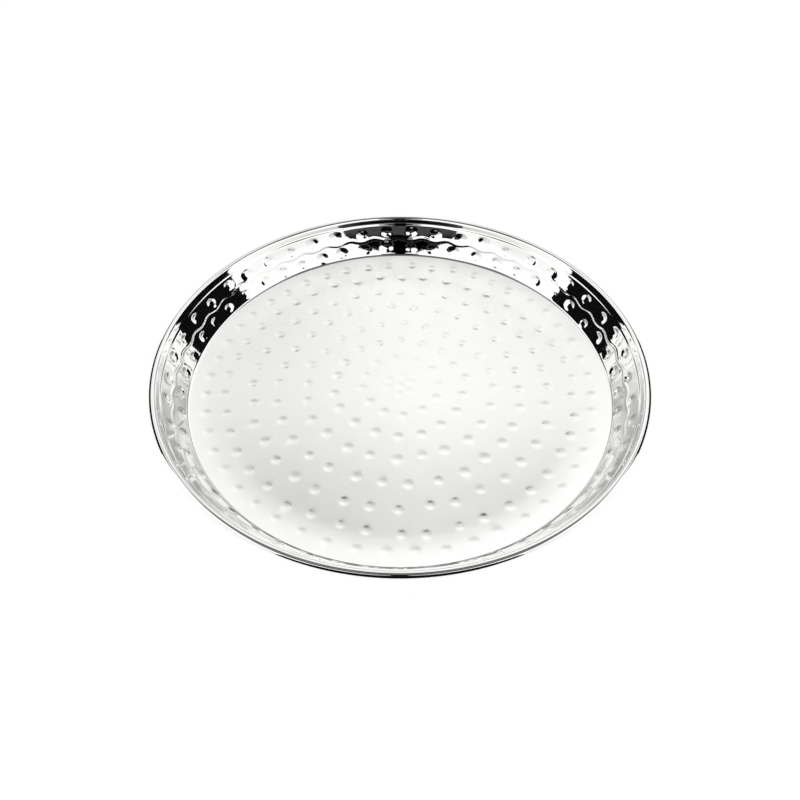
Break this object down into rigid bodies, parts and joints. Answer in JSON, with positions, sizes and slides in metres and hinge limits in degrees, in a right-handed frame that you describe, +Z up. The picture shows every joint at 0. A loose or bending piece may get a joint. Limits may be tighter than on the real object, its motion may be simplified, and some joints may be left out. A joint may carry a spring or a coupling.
{
  "type": "hammered serving plate",
  "caption": "Round shallow serving plate of hammered polished steel, with a flat dimpled floor, a curved dimpled wall and a smooth lip rolled over a core wire.",
  "frame": {"origin": "on the table, under the middle of the plate", "axes": "+Z up along the plate's axis; +X to the right and +Y away from the viewer of the picture"},
  "size_m": [0.305, 0.305, 0.0272],
  "materials": {
    "hammered_steel": "mirror-polished hammered wall and lip, satin hammered floor",
    "steel_wire": "drawn wire"
  },
  "bodies": {
    "root": {"dish": "hammered_steel", "rim_wire": "steel_wire"}
  },
  "joints": []
}
